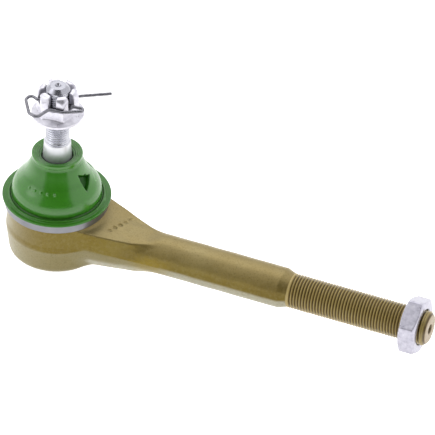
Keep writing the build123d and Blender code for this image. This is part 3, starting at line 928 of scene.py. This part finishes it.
NUT_FLATS, NUT_FLANGE_R, NUT_BORE_R = INCH * 11 / 16, 12.1, 5.63
NUT_ANGLE = math.radians(36.6)   # heading of a slot
SLOT_HALF_WIDTH, SLOT_FLOOR_Z = 1.6, 70.3
JAM_FLATS, JAM_BORE_R = INCH * 15 / 16, 8.02
JAM_ANGLE = math.radians(32.4)   # heading of a corner, about X
PIN_ANGLE = math.radians(32.65)  # heading of the leg through the nut
PIN_Z, PIN_R = 72.1, 0.75


def castle_field(x, y, z):
    """Hexagon with a flange below, a coned and crowned top, six slots across it and a chamfered bore."""
    radius = np.sqrt(x * x + y * y)
    bottom, top = NUT_LO[2], NUT_HI[2]
    body = hexagon(x, y, NUT_FLATS, NUT_ANGLE + math.pi / 6, 0.5)
    body = smooth_max(body, bottom + 0.8 - z, 0.3)
    body = smooth_max(body, z - top, 0.5)
    cone = (radius - 7.8) * 0.60 + (z - top) * 0.80
    crown = (radius - 9.6) * 0.90 + (z - (top - 2.4)) * 0.44
    body = smooth_max(body, cone, 0.6)
    body = smooth_max(body, crown, 0.6)
    flange = polygon_distance(radius, z, [
        (0, bottom), (NUT_FLANGE_R, bottom), (NUT_FLANGE_R, bottom + 1.3), (9.0, bottom + 2.7),
        (0, bottom + 2.9)])
    flange = smooth_max(flange + 0.12, radius - (NUT_FLANGE_R - 0.02), 0.5) - 0.12
    body = smooth_min(body, flange, 0.7)
    for i in range(3):
        a = NUT_ANGLE + i * math.pi / 3
        across_slot = np.abs(-x * math.sin(a) + y * math.cos(a)) - SLOT_HALF_WIDTH
        slot = smooth_max(across_slot, SLOT_FLOOR_Z - z, 0.7)
        body = smooth_max(body, -slot, 0.35)
    chamfers = np.clip(0.6 - np.abs(z - bottom), 0, 0.6) + np.clip(0.7 - np.abs(z - top), 0, 0.7)
    return smooth_max(body, -(radius - NUT_BORE_R - chamfers), 0.2)


def jam_field(x, y, z):
    """Thin hexagon along X with both rims and the bore chamfered."""
    radius = np.sqrt(y * y + z * z)
    lo, hi = JAM_LO[0], JAM_HI[0]
    body = hexagon(y, z, JAM_FLATS, JAM_ANGLE, 0.55)
    body = smooth_max(body, smooth_max(lo - x, x - hi, 0.2), 0.3)
    for face in (lo - x, x - hi):
        body = smooth_max(body, (radius - 11.6) * 0.447 + face * 0.894, 0.35)
    chamfers = 0.55 * np.clip(1 - np.minimum(x - lo, hi - x) / 0.6, 0, 1)
    return smooth_max(body, -(radius - JAM_BORE_R - chamfers), 0.2)


PIN_ROUTE = [                    # (along the leg, to its side): leg, bow, then the end wrapped round the nut
    (24.5, 0), (-9.4, 0), (-11.6, -3.9), (-14.5, -0.8), (-14.6, 9.6), (-11.6, 12.9), (-5.4, 8.0), (0.3, 10.9),
    (9.6, 11.2), (9.6, 9.2), (4.9, 7.0)]
PIN_RADII = [0, 1.4, 1.7, 2.6, 2.6, 2.2, 1.6, 2.2, 0.95, 0.95, 0]


def build_fasteners():
    nut = mesh_field("castle_nut_forged", castle_field, NUT_LO, NUT_HI, 0.22, ZINC)
    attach(nut, "stud_body")
    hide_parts("castle_nut")

    jam = mesh_field("jam_nut_milled", jam_field, JAM_LO, JAM_HI, 0.25, ZINC)
    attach(jam, "jam_nut_body")
    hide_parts("jam_nut")

    leg = np.array([math.cos(PIN_ANGLE), math.sin(PIN_ANGLE), -0.01])
    leg /= np.linalg.norm(leg)
    side = np.array([math.sin(PIN_ANGLE), -math.cos(PIN_ANGLE), 0])
    route = [np.array([0, 0, PIN_Z]) + p * leg + q * side for p, q in PIN_ROUTE]
    path = dense(fillet(route, PIN_RADII, 10, share=0.62), 0.7)
    pin = tube("pin_wire_bent", path, PIN_R, WIRE)
    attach(pin, "stud_body")
    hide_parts("locking_pin")


# --- underside ------------------------------------------------------------------------
FITTING_FLATS, FITTING_HEX_END = INCH * 5 / 16, -16.4
FITTING_STEM = [
    (0, -11.05), (2.6, -11.05), (2.9, -11.35), (2.9, -16.4), (2.45, -17.0), (2.45, -19.3), (3.2, -20.0),
    (3.2, -21.0), (2.15, FITTING_LO[2]), (0, FITTING_LO[2])]
FITTING_BORE = [
    (0, -10), (1.0, -10), (1.0, -11.4), (1.7, -11.4), (1.7, -21.1), (0.95, -21.8), (0.95, -24), (0, -24)]


def fitting_field(x, y, z):
    """Grease fitting: hexagon under the cover, stem with a grooved head, and the bore of the check ball."""
    radius = np.sqrt(x * x + y * y)
    seat = COVER_LO[2] - 0.02
    hexa = hexagon(x, y, FITTING_FLATS, 0, 0.3)
    hexa = smooth_max(hexa, smooth_max(z - seat, FITTING_HEX_END - z, 0.2), 0.2)
    for face in (z - seat, FITTING_HEX_END - z):
        hexa = smooth_max(hexa, (radius - 4.15) * 0.5 + face * 0.866, 0.25)
    body = smooth_min(hexa, polygon_distance(radius, z, FITTING_STEM), 0.35)
    return smooth_max(body, -polygon_distance(radius, z, FITTING_BORE), 0.1)


def build_underside():
    top, bottom, hole_r = COVER_HI[2], COVER_LO[2], 2.98
    raised = bottom + 0.35
    plate = fillet(
        [(hole_r, top), (14.5, top), (14.5, bottom), (11.6, bottom), (10.9, raised), (6.4, raised),
         (5.7, bottom), (hole_r, bottom)], [0.1, 0.2, 0.25, 0.4, 0.4, 0.4, 0.4, 0.1], 4, closed=True)
    verts, quads = lathe_grid(dense(plate, 0.8, closed=True), 160)
    cover = add_mesh("cover_pressed", verts, quads, COVER)
    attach(cover, "housing_body")
    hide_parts("cover_plate")

    fitting = mesh_field("fitting_turned", fitting_field, FITTING_LO, FITTING_HI, 0.13, ZINC)
    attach(fitting, "housing_body")
    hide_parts("grease_fitting")


def build_check_spring():
    """Wire coil behind the check ball, narrow on the ball."""
    wire, turns, stroke = 0.2, 9, 1.2
    low, high = CHECK_SPRING_LO[2] + wire, CHECK_SPRING_HI[2] - wire
    turn = np.linspace(0, turns, turns * 20 + 1)
    lift = np.clip((turn - 0.5) / (turns - 1), 0, 1)
    reach = np.interp(turn, [0, 1.5], [0.5, 1.15])
    angle = TAU * turn
    path = np.column_stack([reach * np.cos(angle), reach * np.sin(angle), low + (high - low) * lift])
    coil = tube("check_spring_coil", list(path), wire, SPRING, sides=10)
    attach(coil, "housing_body")
    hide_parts("check_spring")
    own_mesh(coil)


def finish_inner_nodes():
    """Materials of the CAD nodes that stay: the pieces closed inside the joint."""
    looks = {"upper_bearing": BEARING, "lower_bearing": BEARING, "check_ball": BEARING,
             "preload_spring": SPRING, "boot_lip_ring": SPRING}
    for node, look in looks.items():
        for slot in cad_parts[node].material_slots:
            slot.material = look


# --- stage ----------------------------------------------------------------------------
def build_floor():
    gap, reach = 0.0002, 4.0        # metres
    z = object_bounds()[0].z - gap
    corners = [(-reach, -reach, z), (reach, -reach, z), (reach, reach, z), (-reach, reach, z)]
    data = bpy.data.meshes.new("floor")
    data.from_pydata(corners, [], [(0, 1, 2, 3)])
    floor = bpy.data.objects.new("floor", data)
    bpy.context.scene.collection.objects.link(floor)
    paint = Paint("floor_paper", roughness=0.9, Emission_Strength=0.72)
    paint.shader.inputs["Emission Color"].default_value = (1, 1, 1, 1)
    tone = paint.ramp(paint.noise(4, 2), [(0.3, (0.86, 0.86, 0.86)), (0.7, (0.88, 0.88, 0.88))])
    data.materials.append(paint.done(tone))


def build_tent():
    """A white tent all round, with a dark opening towards the camera that draws the dark core reflections."""
    bright, dark = 1.10, 0.04
    half_width = (46, 38)           # degrees: where the opening starts to darken, and where it is fully dark
    sill, lid = (0.04, 0.12), (0.93, 0.99)
    world = bpy.data.worlds.new("tent")
    bpy.context.scene.world = world
    world.use_nodes = True
    tree = world.node_tree
    tree.nodes.clear()
    out = tree.nodes.new("ShaderNodeOutputWorld")
    sky = tree.nodes.new("ShaderNodeBackground")
    tree.links.new(sky.outputs[0], out.inputs[0])
    where = tree.nodes.new("ShaderNodeTexCoord").outputs["Generated"]

    def node(kind, operation, *inputs):
        n = tree.nodes.new(kind)
        n.operation = operation
        for value, socket in zip(inputs, n.inputs):
            if isinstance(value, (int, float, tuple)):
                socket.default_value = value
            else:
                tree.links.new(value, socket)
        return n

    def spread(value, lo, hi, out_lo, out_hi):
        n = tree.nodes.new("ShaderNodeMapRange")
        n.interpolation_type = "SMOOTHSTEP"
        for key, number in zip(("From Min", "From Max", "To Min", "To Max"), (lo, hi, out_lo, out_hi)):
            n.inputs[key].default_value = number
        tree.links.new(value, n.inputs["Value"])
        return n.outputs[0]

    flat = node("ShaderNodeVectorMath", "MULTIPLY", where, (1, 1, 0)).outputs[0]
    flat = node("ShaderNodeVectorMath", "NORMALIZE", flat).outputs[0]
    ahead = node("ShaderNodeVectorMath", "DOT_PRODUCT", flat, tuple(towards(CAM_AZIMUTH, 0))).outputs["Value"]
    opening = spread(ahead, *(math.cos(math.radians(a)) for a in half_width), 0, 1)
    split = tree.nodes.new("ShaderNodeSeparateXYZ")
    tree.links.new(where, split.inputs[0])
    above_sill = spread(split.outputs[2], *sill, 0, 1)
    below_lid = spread(split.outputs[2], *lid, 1, 0)
    depth = node("ShaderNodeMath", "MULTIPLY", opening, above_sill).outputs[0]
    depth = node("ShaderNodeMath", "MULTIPLY", depth, below_lid).outputs[0]
    tree.links.new(spread(depth, 0, 1, bright, dark), sky.inputs["Strength"])
    sky.inputs["Color"].default_value = (1, 1, 1, 1)


def softbox(name, azimuth, elevation, distance, size, power):
    """A round soft lamp that faces the cup; angles in degrees, lengths in metres."""
    back = towards(math.radians(azimuth), math.radians(elevation))
    data = bpy.data.lights.new(name, "AREA")
    data.shape, data.size, data.energy = "DISK", size, power
    obj = bpy.data.objects.new(name, data)
    place = Matrix.Translation(back * distance + Vector((0.06, 0, 0)))
    obj.matrix_world = place @ back.to_track_quat("Z", "Y").to_matrix().to_4x4()
    bpy.context.scene.collection.objects.link(obj)


build_forging()
build_ring()
build_boot()
build_stud()
build_fasteners()
build_underside()
build_check_spring()
finish_inner_nodes()
build_floor()
build_tent()
softbox("key", 205, 62, 1.5, 1.4, 5.0)
softbox("fill", -60, 35, 1.5, 0.8, 2.0)
bpy.context.scene.view_settings.view_transform = "Standard"
make_camera()
